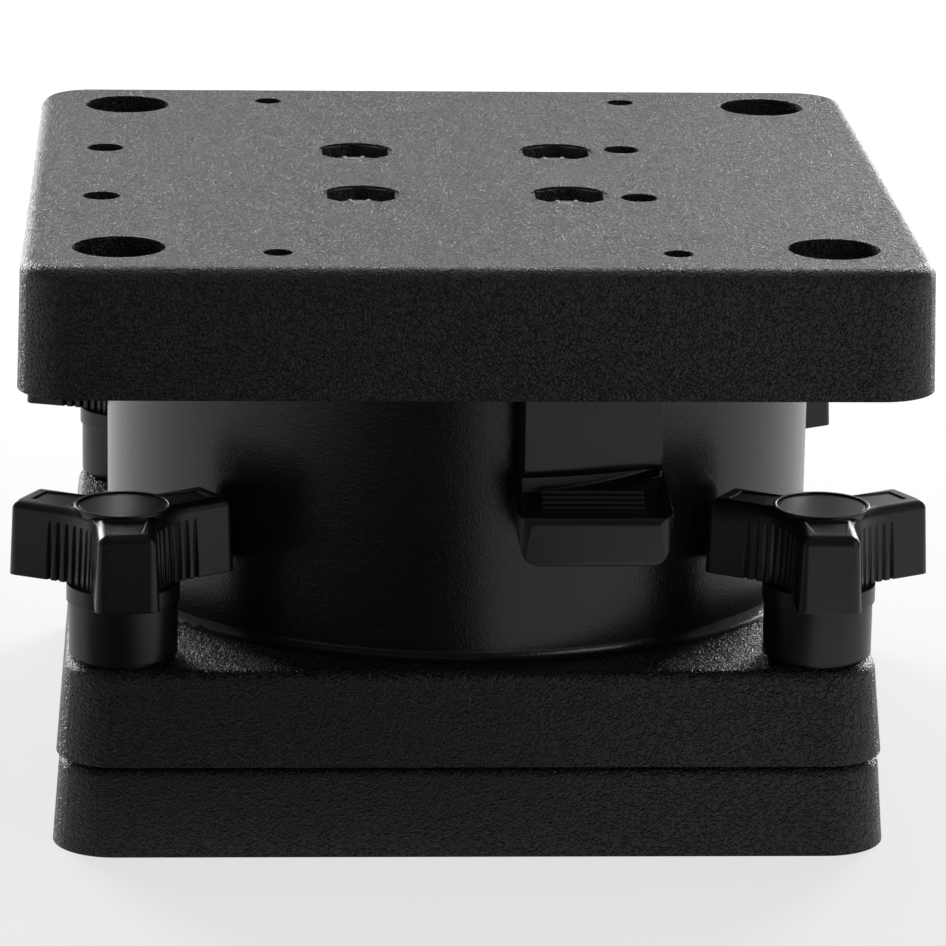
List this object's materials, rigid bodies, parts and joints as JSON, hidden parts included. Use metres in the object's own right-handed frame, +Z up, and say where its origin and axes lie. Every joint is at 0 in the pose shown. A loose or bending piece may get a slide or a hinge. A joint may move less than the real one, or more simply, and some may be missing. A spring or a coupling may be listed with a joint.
{
  "type": "swivel mount",
  "caption": "Square deck swivel base: a plate that turns on a drum, held to a deck plate by lobed hand knobs and locked in steps by a sprung thumb lever.",
  "frame": {"origin": "under the middle of the deck plate, on the deck", "axes": "+Z up through the swivel axis, -Y to the front with the lever, +X right"},
  "size_m": [0.1919, 0.1928, 0.1263],
  "materials": {
    "grained_composite": "black moulded composite with a fine leather grain",
    "hub_composite": "plain black moulded composite",
    "lever_plastic": "satin black moulding",
    "knob_plastic": "satin black moulding",
    "cap_plastic": "satin black disc",
    "washer_plastic": "black nylon",
    "bearing_plastic": "natural white slip ring",
    "stainless_steel": "stainless, satin",
    "spring_steel": "spring steel strip",
    "brass": "turned brass"
  },
  "bodies": {
    "base": {"deck_plate": "grained_composite", "deck_inserts": "brass", "base_housing": "grained_composite", "upper_wear_ring": "bearing_plastic", "lower_wear_ring": "bearing_plastic", "lever_pin": "stainless_steel", "lever_spring": "spring_steel"},
    "swivel": {"top_plate": "grained_composite", "swivel_hub": "hub_composite", "plate_bolts": "stainless_steel", "bolt_washers": "stainless_steel", "lock_nuts": "stainless_steel"},
    "lever": {"release_lever": "lever_plastic"},
    "lift_front_left": {"knob_washer_front_left": "washer_plastic"},
    "knob_front_left": {"knob_front_left": "knob_plastic", "knob_stud_front_left": "stainless_steel", "knob_cap_front_left": "cap_plastic"},
    "lift_front_right": {"knob_washer_front_right": "washer_plastic"},
    "knob_front_right": {"knob_front_right": "knob_plastic", "knob_stud_front_right": "stainless_steel", "knob_cap_front_right": "cap_plastic"},
    "lift_back_left": {"knob_washer_back_left": "washer_plastic"},
    "knob_back_left": {"knob_back_left": "knob_plastic", "knob_stud_back_left": "stainless_steel", "knob_cap_back_left": "cap_plastic"},
    "lift_back_right": {"knob_washer_back_right": "washer_plastic"},
    "knob_back_right": {"knob_back_right": "knob_plastic", "knob_stud_back_right": "stainless_steel", "knob_cap_back_right": "cap_plastic"}
  },
  "joints": [
    {"name": "swivel_turn", "type": "hinge", "parent": "base", "child": "swivel", "pos_m": [0, 0, 0.1], "axis": [0, 0, 1], "continuous": true},
    {"name": "lever_press", "type": "hinge", "parent": "base", "child": "lever", "pos_m": [0.0223, -0.07725, 0.088], "axis": [0.9608, 0.2773, 0], "range_deg": [0, 10], "stiffness_Nm_per_rad": 0.6, "springref_deg": -8.59, "deforming": ["lever_spring"]},
    {"name": "knob_lift_front_left", "type": "slide", "parent": "base", "child": "lift_front_left", "axis": [0, 0, 1], "range_m": [0, 0.0096]},
    {"name": "knob_turn_front_left", "type": "hinge", "parent": "lift_front_left", "child": "knob_front_left", "pos_m": [-0.07225, -0.07225, 0.06], "axis": [0, 0, 1], "range_deg": [0, 2160]},
    {"name": "knob_lift_front_right", "type": "slide", "parent": "base", "child": "lift_front_right", "axis": [0, 0, 1], "range_m": [0, 0.0096]},
    {"name": "knob_turn_front_right", "type": "hinge", "parent": "lift_front_right", "child": "knob_front_right", "pos_m": [0.07225, -0.07225, 0.06], "axis": [0, 0, 1], "range_deg": [0, 2160]},
    {"name": "knob_lift_back_left", "type": "slide", "parent": "base", "child": "lift_back_left", "axis": [0, 0, 1], "range_m": [0, 0.0096]},
    {"name": "knob_turn_back_left", "type": "hinge", "parent": "lift_back_left", "child": "knob_back_left", "pos_m": [-0.07225, 0.07225, 0.06], "axis": [0, 0, 1], "range_deg": [0, 2160]},
    {"name": "knob_lift_back_right", "type": "slide", "parent": "base", "child": "lift_back_right", "axis": [0, 0, 1], "range_m": [0, 0.0096]},
    {"name": "knob_turn_back_right", "type": "hinge", "parent": "lift_back_right", "child": "knob_back_right", "pos_m": [0.07225, 0.07225, 0.06], "axis": [0, 0, 1], "range_deg": [0, 2160]}
  ],
  "couplings": [
    {"joint": "knob_lift_front_left", "follows": "knob_turn_front_left", "m_per_rad": 0.00025266},
    {"joint": "knob_lift_front_right", "follows": "knob_turn_front_right", "m_per_rad": 0.00025266},
    {"joint": "knob_lift_back_left", "follows": "knob_turn_back_left", "m_per_rad": 0.00025266},
    {"joint": "knob_lift_back_right", "follows": "knob_turn_back_right", "m_per_rad": 0.00025266}
  ]
}
